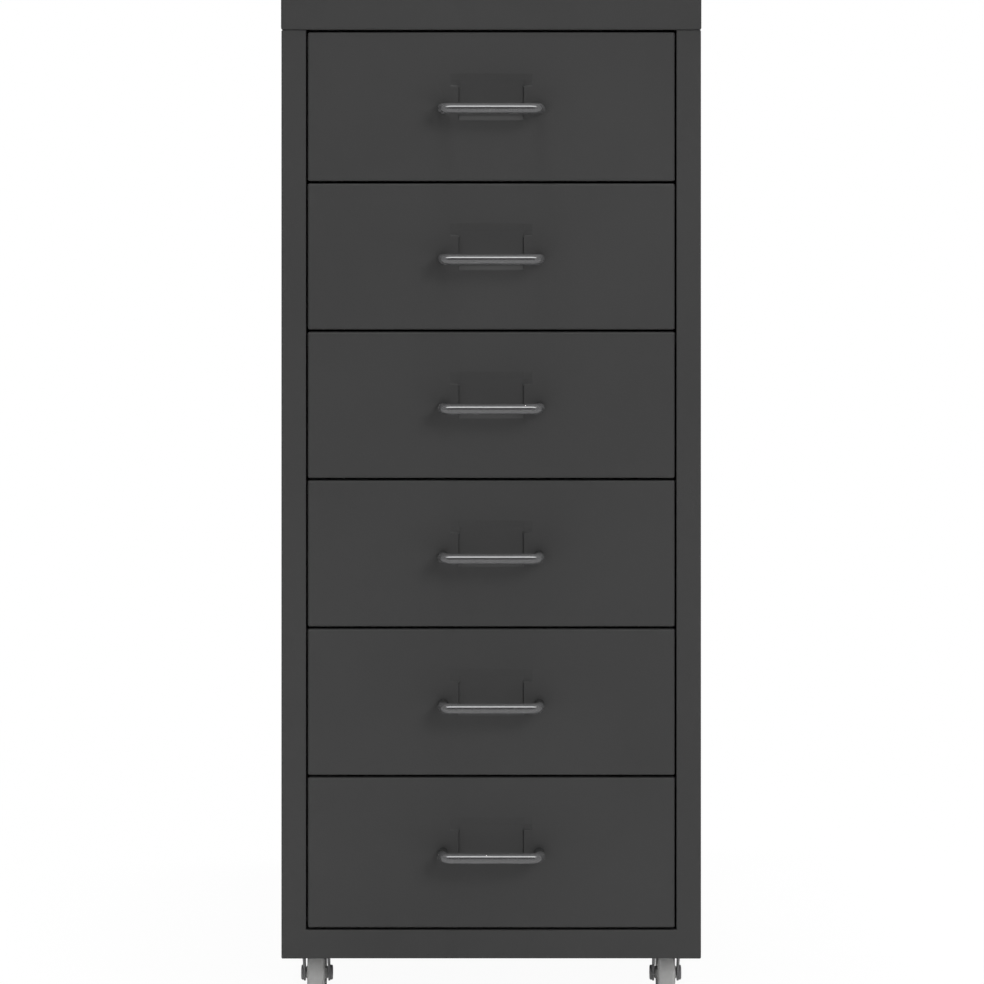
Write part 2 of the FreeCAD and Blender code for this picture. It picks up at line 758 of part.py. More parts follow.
def screw():
    """A round-headed cross-recess screw, its shank along +Z from under the head."""
    body = new_body("screw", y="0")
    shank = "screw_diameter / 2"
    head = "screw_head_diameter / 2"
    section = [
        ("0", "-screw_head_height"),
        (head, "-screw_head_height"),
        (head, "0"),
        (shank, "0"),
        (shank, "screw_length"),
        ("0", "screw_length"),
    ]
    revolve(body, "XZ", "Z_Axis", section)
    top = -value("screw_head_height")
    round_edges(body, "screw_head_round", lambda edge: lies_on(edge, z=top))
    arm = "screw_recess_length / 2"
    wing = "screw_recess_width / 2"
    cross = [
        (arm, f"-{wing}"),
        (arm, wing),
        (wing, wing),
        (wing, arm),
        (f"-{wing}", arm),
        (f"-{wing}", wing),
        (f"-{arm}", wing),
        (f"-{arm}", f"-{wing}"),
        (f"-{wing}", f"-{wing}"),
        (f"-{wing}", f"-{arm}"),
        (wing, f"-{arm}"),
        (wing, f"-{wing}"),
    ]
    pocket(body, "XY", "-screw_head_height", "screw_recess_depth", cross)
    return body


def nut():
    """A hexagon nut that stands on z = 0."""
    body = new_body("nut", y="0")
    bore = [("0", "0", "stem_diameter + 2 * thread_clearance")]
    pad(body, "XY", "0", "nut_height", hexagon("nut_flats"))
    pocket(body, "XY", "0", "nut_height", circles=bore)
    return body


def group(label, master, places, turn=None):
    """One node that holds the same fastener at several places."""
    members = []
    for x, y, z in places:
        link = doc.addObject("App::Link", "Fastener")
        link.LinkedObject = master
        link.Placement = FreeCAD.Placement(FreeCAD.Vector(), turn or FreeCAD.Rotation())
        place(link, x, y, z)
        members.append(link)
    compound = doc.addObject("Part::Compound", label)
    compound.Label = label
    compound.Links = members
    return compound


# The cabinet

for side_name, side in (("left", -1), ("right", 1)):
    side_panel(f"{side_name}_side_panel", side)
top_cover()
back_panel()
base_panel()

screw_body = screw()
nut_body = nut()
inward = FreeCAD.Rotation(FreeCAD.Vector(1, 0, 0), 90)

for number in range(1, DRAWERS + 1):
    steps_up = DRAWERS - number
    module = f"({base_top} + front_gap + bottom_front_extra + {steps_up} * ({front_height} + front_gap))"
    low = "-bottom_front_extra" if number == DRAWERS else "0"
    high = f"({front_height} + top_front_extra)" if number == 1 else front_height
    grip = f"({high} / 2 - handle_drop)"
    for side_name, side in (("left", -1), ("right", 1)):
        runner(f"{side_name}_runner_{number}", side, module)
    drawer_front(f"drawer_{number}_front", module, low, high, grip)
    drawer_tray(f"drawer_{number}_tray", module)
    handle(f"drawer_{number}_handle", f"{module} + {grip}")
    screw_places = [
        (f"{side} * handle_centres / 2", f"{case_y} + sheet_gauge", f"{module} + {grip}")
        for side in (-1, 1)
    ]
    group(f"drawer_{number}_handle_screws", screw_body, screw_places, inward)

ends = (
    ("front", f"{case_y} + caster_end_inset", False),
    ("rear", f"{case_y} + case_depth - caster_end_inset", True),
)
for end_name, y, turned in ends:
    for side_name, side in (("left", -1), ("right", 1)):
        caster(f"{end_name}_{side_name}_caster", f"{side} * {caster_x}", y, turned)

nut_places = [(f"{side} * {caster_x}", y, base_top) for side in (-1, 1) for _, y, _ in ends]
group("caster_nuts", nut_body, nut_places)

back_face = f"{case_y} + case_depth + sheet_gauge"
back_places = [(f"{side} * {rear_screw_x}", back_face, z) for side in (-1, 1) for z in rear_screw_heights]
back_places += [(f"{side} * {base_screw_x}", back_face, base_screw_height) for side in (-1, 1)]
group("back_screws", screw_body, back_places, inward)
cover_places = [
    (f"{side} * {rear_screw_x}", f"{case_y} + {y}", f"{cover_bottom} - sheet_gauge")
    for side in (-1, 1)
    for y in cover_screw_depths
]
group("cover_screws", screw_body, cover_places)

# Every object has to be sound before anything is written

doc.recompute()
pieces = [item for item in doc.Objects if item.TypeId in ("PartDesign::Body", "Part::Compound")]
pieces = [item for item in pieces if item not in (screw_body, nut_body)]
for item in doc.Objects:
    if "Invalid" in item.State or "Error" in item.State:
        raise RuntimeError(f"{item.Label} has failed: {item.State}")
for piece in pieces:
    if piece.Shape.isNull() or not piece.Shape.isValid() or not piece.Shape.Solids:
        raise RuntimeError(f"{piece.Label} has no valid shape")

os.makedirs("parts", exist_ok=True)
for piece in pieces:
    piece.Shape.exportStep(f"parts/{piece.Label}.step")
print(len(pieces), "pieces")
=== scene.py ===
import json
import math

import bmesh
import bpy
from bpy.props import FloatProperty, FloatVectorProperty, IntProperty, PointerProperty
from bpy.types import Operator, Panel, PropertyGroup
from mathutils import Matrix, Vector

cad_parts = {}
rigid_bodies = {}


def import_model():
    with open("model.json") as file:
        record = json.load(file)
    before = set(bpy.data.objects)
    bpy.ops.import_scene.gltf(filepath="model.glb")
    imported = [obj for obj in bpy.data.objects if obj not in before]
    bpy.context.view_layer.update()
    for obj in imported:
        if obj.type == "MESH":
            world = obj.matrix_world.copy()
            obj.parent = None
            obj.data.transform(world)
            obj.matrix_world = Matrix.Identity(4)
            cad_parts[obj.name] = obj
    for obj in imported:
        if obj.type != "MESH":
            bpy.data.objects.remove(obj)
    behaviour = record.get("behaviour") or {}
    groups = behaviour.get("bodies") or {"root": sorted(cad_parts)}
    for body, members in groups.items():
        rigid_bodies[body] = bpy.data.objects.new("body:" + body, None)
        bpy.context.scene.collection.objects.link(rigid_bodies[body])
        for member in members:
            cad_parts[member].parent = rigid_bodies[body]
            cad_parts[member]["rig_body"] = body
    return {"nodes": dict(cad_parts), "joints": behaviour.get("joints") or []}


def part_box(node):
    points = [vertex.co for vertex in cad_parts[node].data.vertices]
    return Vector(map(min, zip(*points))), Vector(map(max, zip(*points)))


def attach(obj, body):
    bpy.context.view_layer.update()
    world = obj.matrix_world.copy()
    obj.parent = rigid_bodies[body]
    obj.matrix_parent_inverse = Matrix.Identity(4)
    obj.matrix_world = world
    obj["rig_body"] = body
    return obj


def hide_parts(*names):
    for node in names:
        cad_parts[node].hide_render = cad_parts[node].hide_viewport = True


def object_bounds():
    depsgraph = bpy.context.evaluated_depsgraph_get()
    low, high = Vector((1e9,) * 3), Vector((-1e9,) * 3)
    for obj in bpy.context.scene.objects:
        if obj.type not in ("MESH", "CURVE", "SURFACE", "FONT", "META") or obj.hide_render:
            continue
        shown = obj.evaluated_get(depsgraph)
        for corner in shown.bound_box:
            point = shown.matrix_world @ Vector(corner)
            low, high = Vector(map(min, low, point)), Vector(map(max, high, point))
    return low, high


bl_info = {
    "name": "Drawer Cabinet",
    "version": (1, 0, 0),
    "blender": (4, 5, 0),
    "location": "View3D > Sidebar > Cabinet",
    "description": "Dresses a small steel drawer cabinet in folded sheet, bent wire and paint",
    "category": "Add Mesh",
}

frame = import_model()
CAD_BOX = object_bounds()

DRAWERS = range(1, 7)
SIDES = {"left": -1, "right": 1}
CASTERS = ("front_left", "front_right", "rear_left", "rear_right")
AXES = {"x": Vector((1, 0, 0)), "y": Vector((0, 1, 0)), "z": Vector((0, 0, 1))}
MERGE = 1e-6
SHARP = math.radians(35)
CREASE = math.radians(3)
FLAT = math.radians(0.5)
FLAG_HEIGHT = 0.002
FINISH_PREFIX = "finish_"

# The Mix node's sockets share their names, so those for colours go by number
MIX_FACTOR, MIX_A, MIX_B, MIX_COLOUR = 0, 6, 7, 2


# Sizes and colours


class SheetSettings(PropertyGroup):
    """The folded sheet of the case, the drawer fronts and the trays."""

    gauge: FloatProperty(
        name="Gauge", description="Thickness of the sheet", default=0.0008, unit="LENGTH"
    )
    bend: FloatProperty(
        name="Bend", description="Outer radius of the folds", default=0.0015, unit="LENGTH"
    )
    tight_bend: FloatProperty(
        name="Tight bend",
        description="Outer radius of the folds beside a drawer front",
        default=0.0009,
        unit="LENGTH",
    )
    bend_steps: IntProperty(name="Bend steps", description="Faces round a fold", default=5)
    edge: FloatProperty(
        name="Edge", description="How far the paint rounds a cut edge", default=0.00015, unit="LENGTH"
    )


class CaseSettings(PropertyGroup):
    """Places on the case that its outline alone doesn't give."""

    flange: FloatProperty(
        name="Flange", description="Width of a side's front and rear flange", default=0.0164, unit="LENGTH"
    )
    flange_return: FloatProperty(
        name="Flange return", description="Depth of a flange's return", default=0.024, unit="LENGTH"
    )
    foot: FloatProperty(
        name="Foot", description="Width of a side's foot flange", default=0.005, unit="LENGTH"
    )
    cover_return: FloatProperty(
        name="Cover return", description="Width of the lip under the cover", default=0.014, unit="LENGTH"
    )
    apron_return: FloatProperty(
        name="Apron return", description="Width of the lip under the apron", default=0.004, unit="LENGTH"
    )
    skirt: FloatProperty(
        name="Skirt", description="Height of the base's side skirts", default=0.012, unit="LENGTH"
    )


class CardHolderSettings(PropertyGroup):
    """The card holder pressed into a drawer front, measured from the handle's middle."""

    flap: FloatProperty(name="Flap", description="Width of the flap", default=0.043, unit="LENGTH")
    shoulder: FloatProperty(
        name="Shoulder", description="Width of the mouth beside the flap", default=0.006, unit="LENGTH"
    )
    slit: FloatProperty(
        name="Slit", description="Width of the slit beside the flap", default=0.0002, unit="LENGTH"
    )
    recess: FloatProperty(
        name="Recess", description="How far the flap is pressed back", default=0.0014, unit="LENGTH"
    )
    top_rise: FloatProperty(
        name="Top", description="Upper edge above the handle's middle", default=0.0233, unit="LENGTH"
    )
    top_slope: FloatProperty(
        name="Top slope", description="Height of the slope at the top", default=0.0047, unit="LENGTH"
    )
    mouth: FloatProperty(
        name="Mouth", description="Height of the mouth under the slope", default=0.0026, unit="LENGTH"
    )
    shoulder_slope: FloatProperty(
        name="Shoulder slope", description="Height of the lower slope", default=0.0014, unit="LENGTH"
    )
    bottom_drop: FloatProperty(
        name="Bottom", description="Lower edge under the handle's middle", default=0.0075, unit="LENGTH"
    )
    bottom_slope: FloatProperty(
        name="Bottom slope", description="Height of the slope at the bottom", default=0.0026, unit="LENGTH"
    )
    crease: FloatProperty(
        name="Crease", description="How far each crease is rounded", default=0.0005, unit="LENGTH"
    )


class TraySettings(PropertyGroup):
    """The box behind a drawer front."""

    lip: FloatProperty(
        name="Lip", description="Width of the lip that runs in the channel", default=0.0086, unit="LENGTH"
    )
    lip_setback: FloatProperty(
        name="Lip setback", description="Where the lips start", default=0.0102, unit="LENGTH"
    )
    ear: FloatProperty(
        name="Ear", description="Height of the stop ears above the lips", default=0.005, unit="LENGTH"
    )
    ear_gap: FloatProperty(
        name="Ear gap",
        description="From the runner's mouth to an ear, drawer out",
        default=0.0015,
        unit="LENGTH",
    )
    tab: FloatProperty(
        name="Tab", description="Width of the tabs behind the front", default=0.012, unit="LENGTH"
    )


class HandleSettings(PropertyGroup):
    """The wire bow."""

    wire: FloatProperty(name="Wire", description="Diameter of the wire", default=0.007, unit="LENGTH")
    bend: FloatProperty(
        name="Bend", description="Radius of the bends at the wire's middle", default=0.0065, unit="LENGTH"
    )
    sides: IntProperty(name="Sides", description="Faces round the wire", default=40)
    bend_steps: IntProperty(name="Bend steps", description="Faces along a bend", default=14)


class WheelSettings(PropertyGroup):
    """The moulded wheel of a caster."""

    tread_round: FloatProperty(
        name="Tread rounding", description="Rounding of the tread's edges", default=0.0016, unit="LENGTH"
    )
    rim: FloatProperty(
        name="Rim", description="Thickness of the rim at its side", default=0.0036, unit="LENGTH"
    )
    web: FloatProperty(name="Web", description="Thickness of the web", default=0.006, unit="LENGTH")
    width: FloatProperty(name="Width", description="Width of the rim", default=0.0122, unit="LENGTH")
    hub: FloatProperty(name="Hub", description="Diameter of the hub", default=0.008, unit="LENGTH")
    bore: FloatProperty(name="Bore", description="Diameter of the bore", default=0.0041, unit="LENGTH")
    draft: FloatProperty(
        name="Draft", description="How far the moulding tapers", default=0.0012, unit="LENGTH"
    )
    steps: IntProperty(name="Steps", description="Faces round the wheel", default=72)
    soften: FloatProperty(
        name="Soften", description="Rounding of the moulding's other edges", default=0.0004, unit="LENGTH"
    )


class FinishSettings(PropertyGroup):
    """Colours and gloss."""

    paint: FloatVectorProperty(
        name="Paint", description="Powder coat", default=(0.050, 0.050, 0.050), subtype="COLOR"
    )
    paint_roughness: FloatProperty(
        name="Paint roughness", description="Roughness of the powder coat", default=0.46, subtype="FACTOR"
    )
    chrome: FloatVectorProperty(
        name="Chrome", description="Plating of the handles", default=(0.62, 0.62, 0.63), subtype="COLOR"
    )
    zinc: FloatVectorProperty(
        name="Zinc", description="Plating of casters and screws", default=(0.58, 0.58, 0.59), subtype="COLOR"
    )
    plastic: FloatVectorProperty(
        name="Plastic", description="Wheels", default=(0.48, 0.48, 0.474), subtype="COLOR"
    )


class StageSettings(PropertyGroup):
    """Floor, lamps and camera."""

    floor: FloatVectorProperty(
        name="Floor", description="Colour of the floor", default=(0.82, 0.82, 0.82), subtype="COLOR"
    )
    floor_size: FloatProperty(
        name="Floor size", description="Side of the floor", default=60.0, unit="LENGTH"
    )
    view_distance: FloatProperty(
        name="View distance", description="From the front of the case to the lens", default=2.5, unit="LENGTH"
    )
    view_height: FloatProperty(
        name="View height", description="Height of the lens over the floor", default=0.575, unit="LENGTH"
    )
    pixels_per_metre: FloatProperty(
        name="Pixels per metre", description="Scale of the picture on the case's front", default=1502.2
    )
    picture_side: IntProperty(
        name="Picture side", description="Side of the square picture", default=984, subtype="PIXEL"
    )
    middle_column: FloatProperty(
        name="Middle column", description="Column that the case's middle falls on", default=491.2
    )
    apron_row: FloatProperty(
        name="Apron row", description="Row that the apron's lower edge falls on", default=958.6
    )
    shadow_start: FloatProperty(
        name="Shadow start", description="Where the floor starts to fade", default=0.3, unit="LENGTH"
    )
    shadow_reach: FloatProperty(
        name="Shadow reach", description="Where the floor has faded to white", default=1.2, unit="LENGTH"
    )
    shadow_white: FloatProperty(
        name="Shadow white", description="White in the floor near the cabinet", default=0.96, subtype="FACTOR"
    )
    ambient: FloatProperty(name="Ambient", description="Light from all round", default=0.25)
    key_power: FloatProperty(name="Key", description="Lamp at the upper right", default=37.5, unit="POWER")
    fill_power: FloatProperty(name="Fill", description="Lamp beside the camera", default=12, unit="POWER")
    top_power: FloatProperty(name="Top", description="Lamp overhead", default=90, unit="POWER")
    back_power: FloatProperty(name="Back", description="Lamp behind", default=24, unit="POWER")
    room: FloatVectorProperty(
        name="Room",
        description="Half width, front and height of the flags round the set",
        default=(3.0, -3.4, 2.9),
        subtype="XYZ",
        unit="LENGTH",
    )
    light_strip: FloatProperty(
        name="Light strip", description="White left open in front overhead", default=1.9, unit="LENGTH"
    )
    front_flag: FloatProperty(
        name="Front flag", description="Grey behind the camera, in gloss", default=0.03, subtype="FACTOR"
    )
    side_flag: FloatProperty(
        name="Side flags", description="Grey at the sides, in gloss", default=0.12, subtype="FACTOR"
    )
    floor_flag: FloatProperty(
        name="Floor flag", description="Grey of the floor in front, in gloss", default=0.16, subtype="FACTOR"
    )


class CabinetSettings(PropertyGroup):
    """All that a user may change."""

    sheet: PointerProperty(type=SheetSettings)
    case: PointerProperty(type=CaseSettings)
    card_holder: PointerProperty(type=CardHolderSettings)
    tray: PointerProperty(type=TraySettings)
    handle: PointerProperty(type=HandleSettings)
    wheel: PointerProperty(type=WheelSettings)
    finish: PointerProperty(type=FinishSettings)
    stage: PointerProperty(type=StageSettings)


# Shader nodes


class Socket:
    """A node's output. Arithmetic on it adds Math nodes, and add() puts in any other node."""

    def __init__(self, tree, output=None):
        self.tree = tree
        self.output = output

    def add(self, kind, settings=None, inputs=None, output=0):
        """A new node: its settings are set first, then its inputs, as values or links."""
        node = self.tree.nodes.new(kind)
        for name, setting in (settings or {}).items():
            setattr(node, name, setting)
        for name, given in (inputs or {}).items():
            if isinstance(given, Socket):
                self.tree.links.new(given.output, node.inputs[name])
            else:
                node.inputs[name].default_value = given
        return Socket(self.tree, node.outputs[output] if node.outputs else None)

    def math(self, operation, *values):
        return self.add("ShaderNodeMath", {"operation": operation}, dict(enumerate(values)))

    def __add__(self, other):
        return self.math("ADD", self, other)

    def __mul__(self, other):
        return self.math("MULTIPLY", self, other)


def fresh_tree(owner):
    """The owner's node tree, emptied, as a place to add nodes to."""
    owner.use_nodes = True
    owner.node_tree.nodes.clear()
    return Socket(owner.node_tree)


def noise(nodes, place, scale, detail=2.0, roughness=0.5):
    """Clouds around 0.5, with scale features to the metre."""
    return nodes.add(
        "ShaderNodeTexNoise",
        inputs={"Vector": place, "Scale": scale, "Detail": detail, "Roughness": roughness},
    )


def stretch(nodes, mask, low, high):
    """The part of a mask from low to high, drawn out to run from 0 to 1."""
    return nodes.add("ShaderNodeMapRange", inputs={"Value": mask, "From Min": low, "From Max": high})


def mix_colours(nodes, mask, first, second):
    return nodes.add(
        "ShaderNodeMix",
        {"data_type": "RGBA"},
        {MIX_FACTOR: mask, MIX_A: (*first, 1), MIX_B: (*second, 1)},
        MIX_COLOUR,
    )


def tinted(colour, factor):
    return [channel * factor for channel in colour]


def new_finish(name):
    """A new material, its empty tree and the place on the piece that patterns read."""
    material = bpy.data.materials.new(name)
    nodes = fresh_tree(material)
    place = nodes.add("ShaderNodeTexCoord", output="Object")
    return material, nodes, place


def bumped(nodes, height, distance):
    """A surface direction that follows a height pattern, distance metres deep."""
    return nodes.add("ShaderNodeBump", inputs={"Height": height, "Distance": distance})


def surface(nodes, **inputs):
    """The Principled shader, with spaces for the underscores in its inputs' names."""
    named = {name.replace("_", " "): given for name, given in inputs.items()}
    shader = nodes.add("ShaderNodeBsdfPrincipled", inputs=named)
    nodes.add("ShaderNodeOutputMaterial", inputs={"Surface": shader})


# Finishes


def powder_coat(finish):
    """Satin powder coat: a fine orange peel, and a tone that drifts a little over a panel."""
    material, nodes, place = new_finish("powder_coat")
    drift = stretch(nodes, noise(nodes, place, 9.0, 3.0), 0.3, 0.7)
    peel = noise(nodes, place, 620.0)
    grit = noise(nodes, place, 2400.0, 1.0)
    surface(
        nodes,
        Base_Color=mix_colours(nodes, drift, tinted(finish.paint, 0.96), tinted(finish.paint, 1.04)),
        Roughness=drift * 0.04 + peel * 0.10 + (finish.paint_roughness - 0.07),
        Specular_IOR_Level=0.32,
        Normal=bumped(nodes, peel * 0.75 + grit * 0.25, 0.00006),
    )
    return material


def bright_wire(finish):
    """Chromed wire: nearly a mirror, with faint pits and clouding."""
    material, nodes, place = new_finish("bright_wire")
    haze = noise(nodes, place, 160.0, 3.0)
    pits = noise(nodes, place, 1800.0, 2.0)
    surface(
        nodes,
        Base_Color=mix_colours(nodes, haze, tinted(finish.chrome, 0.94), tinted(finish.chrome, 1.04)),
        Metallic=0.93,
        Roughness=haze * 0.06 + 0.10,
        Normal=bumped(nodes, pits, 0.000004),
    )
    return material


def zinc_plate(finish):
    """Dull bright zinc: soft patches of tone and gloss over pressed steel."""
    material, nodes, place = new_finish("zinc_plate")
    patches = noise(nodes, place, 240.0, 3.0)
    grain = noise(nodes, place, 1500.0, 2.0)
    surface(
        nodes,
        Base_Color=mix_colours(nodes, patches, tinted(finish.zinc, 0.82), tinted(finish.zinc, 1.15)),
        Metallic=0.82,
        Roughness=patches * 0.16 + grain * 0.08 + 0.48,
        Normal=bumped(nodes, grain, 0.00003),
    )
    return material


def wheel_plastic(finish):
    """Grey moulded plastic with a dull, slightly scuffed skin."""
    material, nodes, place = new_finish("wheel_plastic")
    scuffs = stretch(nodes, noise(nodes, place, 320.0, 4.0, 0.65), 0.35, 0.65)
    grain = noise(nodes, place, 2200.0, 1.0)
    surface(
        nodes,
        Base_Color=mix_colours(nodes, scuffs, tinted(finish.plastic, 0.95), tinted(finish.plastic, 1.03)),
        Roughness=scuffs * 0.12 + 0.40,
        Specular_IOR_Level=0.4,
        Normal=bumped(nodes, scuffs * 0.5 + grain * 0.5, 0.00003),
    )
    return material


FINISHES = {
    "grey_paint": powder_coat,
    "chromed_wire": bright_wire,
    "zinc_steel": zinc_plate,
    "grey_plastic": wheel_plastic,
}


def finish_for(slot, cabinet):
    """The finish of a material slot, made the first time that a piece asks for it."""
    made = bpy.data.materials.get(FINISH_PREFIX + slot)
    if made is None:
        made = FINISHES[slot](cabinet.finish)
        made.name = FINISH_PREFIX + slot
    return made


# Mesh tools


def cut(bm, axis, place, faces=None):
    """Cuts faces, or the whole mesh, along a plane square to an axis, and keeps both sides."""
    faces = faces or bm.faces[:]
    edges = {edge for face in faces for edge in face.edges}
    verts = {vert for face in faces for vert in face.verts}
    bmesh.ops.bisect_plane(
        bm,
        geom=[*verts, *edges, *faces],
        dist=MERGE,
        plane_co=AXES[axis] * place,
        plane_no=AXES[axis],
    )


def block(bm, low, high):
    """A box from its lowest corner to its highest, and its faces."""
    low, high = Vector(low), Vector(high)
    size = Matrix.Diagonal((*(high - low), 1))
    made = bmesh.ops.create_cube(bm, size=1, matrix=Matrix.Translation((low + high) / 2) @ size)
    return list({face for vert in made["verts"] for face in vert.link_faces})


def plate(bm, low, high):
    """One flat face between two corners that share a level."""
    low, high = Vector(low), Vector(high)
    level = next(i for i in range(3) if abs(high[i] - low[i]) < MERGE)
    across, up = (i for i in range(3) if i != level)
    corners = []
    for first, second in ((0, 0), (1, 0), (1, 1), (0, 1)):
        corner = low.copy()
        corner[across] = (low, high)[first][across]
        corner[up] = (low, high)[second][up]
        corners.append(bm.verts.new(corner))
    return bm.faces.new(corners)


def lies_at(item, axis, place):
    """Whether all corners of an edge or face lie at a place on an axis."""
    return all(abs(vert.co.dot(AXES[axis]) - place) < MERGE * 10 for vert in item.verts)


def middle(item):
    return sum((vert.co for vert in item.verts), Vector()) / len(item.verts)


def push(bm, edges, offset):
    """Draws edges out by an offset, as a flange is folded, and returns their far edges."""
    drawn = bmesh.ops.extrude_edge_only(bm, edges=edges)["geom"]
    moved = {item for item in drawn if isinstance(item, bmesh.types.BMVert)}
    bmesh.ops.translate(bm, verts=list(moved), vec=offset)
    return [edge for edge in bm.edges if moved.issuperset(edge.verts)]


def face_out(bm, outward):
    """Turns all faces the same way, with the largest one looking outward."""
    bmesh.ops.recalc_face_normals(bm, faces=bm.faces[:])
    largest = max(bm.faces, key=lambda face: face.calc_area())
    if largest.normal.dot(Vector(outward)) < 0:
        bmesh.ops.reverse_faces(bm, faces=bm.faces[:])


def round_edges(bm, edges, radius, steps):
    bmesh.ops.bevel(
        bm,
        geom=edges,
        offset=radius,
        offset_type="OFFSET",
        segments=steps,
        profile=0.5,
        affect="EDGES",
        clamp_overlap=True,
        material=-1,
    )


def turned(edge, least):
    """Whether the mesh turns at an edge by more than the least angle."""
    return edge.is_manifold and edge.calc_face_angle() > least


def add_piece(cabinet, name, bm, body, slot, replaced, gauge=0.0, edge=0.0):
    """Makes a mesh a piece that stands for CAD nodes: gives it gauge, soft edges, finish and body."""
    mesh = bpy.data.meshes.new(name)
    bm.to_mesh(mesh)
    bm.free()
    mesh.shade_smooth()
    mesh.materials.append(finish_for(slot, cabinet))
    piece = bpy.data.objects.new(name, mesh)
    bpy.context.scene.collection.objects.link(piece)
    if gauge:
        solid = piece.modifiers.new("gauge", "SOLIDIFY")
        solid.thickness = gauge
        solid.offset = -1
        solid.use_even_offset = True
    if edge:
        soft = piece.modifiers.new("edge", "BEVEL")
        soft.width = edge
        soft.segments = 2
        soft.limit_method = "ANGLE"
        soft.angle_limit = SHARP
    shading = piece.modifiers.new("shading", "WEIGHTED_NORMAL")
    shading.keep_sharp = True
    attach(piece, body)
    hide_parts(*replaced)


def add_sheet(cabinet, name, bm, body, replaced):
    sheet = cabinet.sheet
    add_piece(cabinet, name, bm, body, "grey_paint", replaced, sheet.gauge, sheet.edge)


def paint_nodes(cabinet, slot, names):
    """Gives CAD nodes, whose own shape shows, the finish of a slot."""
    for name in names:
        for place in frame["nodes"][name].material_slots:
            place.link = "OBJECT"
            place.material = finish_for(slot, cabinet)


# Case


def side_sheet(cabinet, side):
    """A skin with flanges on all four sides; the front and rear ones turn back beside the drawers."""
    case, sheet = cabinet.case, cabinet.sheet
    name = f"{side}_side_panel"
    low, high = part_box(name)
    sign = SIDES[side]
    outside = max(low.x, high.x, key=abs)
    opening = outside - sign * case.flange
    foot = outside - sign * case.foot
    return_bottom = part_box("base_panel")[1].z
    bm = bmesh.new()
    faces = block(bm, (min(outside, opening), low.y, low.z), (max(outside, opening), high.y, high.z))
    bmesh.ops.delete(bm, geom=[f for f in faces if lies_at(f, "x", opening)], context="FACES_ONLY")
    floor = [f for f in bm.faces if lies_at(f, "z", low.z)]
    cut(bm, "x", foot, floor)
    inner = [f for f in bm.faces if lies_at(f, "z", low.z) and sign * (foot - middle(f).x) > 0]
    bmesh.ops.delete(bm, geom=inner, context="FACES")
    cut(bm, "z", return_bottom)
    for y, depth in ((low.y, case.flange_return), (high.y, -case.flange_return)):
        edges = [
            e
            for e in bm.edges
            if lies_at(e, "x", opening) and lies_at(e, "y", y) and middle(e).z > return_bottom
        ]
        push(bm, edges, (0, depth, 0))
    face_out(bm, (sign, 0, 0))
    feet = [e for e in bm.edges if lies_at(e, "z", low.z)]
    foot_ends = [e for e in feet if lies_at(e, "y", low.y) or lies_at(e, "y", high.y)]
    folds = [e for e in bm.edges if turned(e, SHARP) and e not in foot_ends]
    round_edges(bm, folds, sheet.tight_bend, sheet.bend_steps)
    add_sheet(cabinet, f"{side}_side_sheet", bm, "case", [name])


def cover_sheet(cabinet):
    """A shallow box, turned under all round, that caps the case."""
    case, sheet = cabinet.case, cabinet.sheet
    low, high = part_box("top_cover")
    bm = bmesh.new()
    faces = block(bm, low, high)
    under = [f for f in faces if lies_at(f, "z", low.z)]
    bmesh.ops.inset_individual(bm, faces=under, thickness=case.cover_return)
    bmesh.ops.delete(bm, geom=under, context="FACES_ONLY")
    face_out(bm, (0, 0, 1))
    folds = [e for e in bm.edges if turned(e, SHARP)]
    round_edges(bm, folds, sheet.bend, sheet.bend_steps)
    add_sheet(cabinet, "top_cover_sheet", bm, "case", ["top_cover"])


def base_sheet(cabinet):
    """The case's floor, with walls down at the front and the back and skirts at the sides."""
    case, sheet = cabinet.case, cabinet.sheet
    low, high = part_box("base_panel")
    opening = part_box("right_side_panel")[0].x
    bm = bmesh.new()
    plate(bm, (low.x, low.y + sheet.gauge, high.z), (high.x, high.y - sheet.gauge, high.z))
    for x in (-opening, opening):
        cut(bm, "x", x)
    for y, outward in ((low.y + sheet.gauge, -1), (high.y - sheet.gauge, 1)):
        edges = [e for e in bm.edges if lies_at(e, "y", y) and abs(middle(e).x) < opening]
        edges = push(bm, edges, (0, outward * sheet.gauge, 0))
        edges = push(bm, edges, (0, 0, low.z - high.z))
        if outward < 0:
            push(bm, edges, (0, case.apron_return, 0))
    for x in (low.x, high.x):
        push(bm, [e for e in bm.edges if lies_at(e, "x", x)], (0, 0, -case.skirt))
    face_out(bm, (0, 0, 1))
    folds = [e for e in bm.edges if turned(e, SHARP)]
    round_edges(bm, folds, sheet.tight_bend, sheet.bend_steps)
    add_sheet(cabinet, "base_sheet", bm, "case", ["base_panel"])


def back_sheet(cabinet):
    """The flat sheet that closes the case behind."""
    bm = bmesh.new()
    block(bm, *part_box("back_panel"))
    add_piece(cabinet, "back_sheet", bm, "case", "grey_paint", ["back_panel"], edge=cabinet.sheet.edge)


# Drawers


def holder_depth(card, levels, on_flap, x, z):
    """How far back the pressed sheet lies at a point on the flap, or on the shoulder beside it."""
    top, pocket_top, mouth, shoulder_end, slope_end, bottom = levels
    if on_flap:
        lower_bend, lower_end, share = slope_end, bottom, 1.0
    else:
        lower_bend, lower_end = mouth, shoulder_end
        share = 1 - (abs(x) - card.flap / 2) / card.shoulder
    falling = (top - z) / (top - pocket_top)
    rising = (z - lower_end) / (lower_bend - lower_end)
    return share * card.recess * max(0.0, min(1.0, falling, rising))


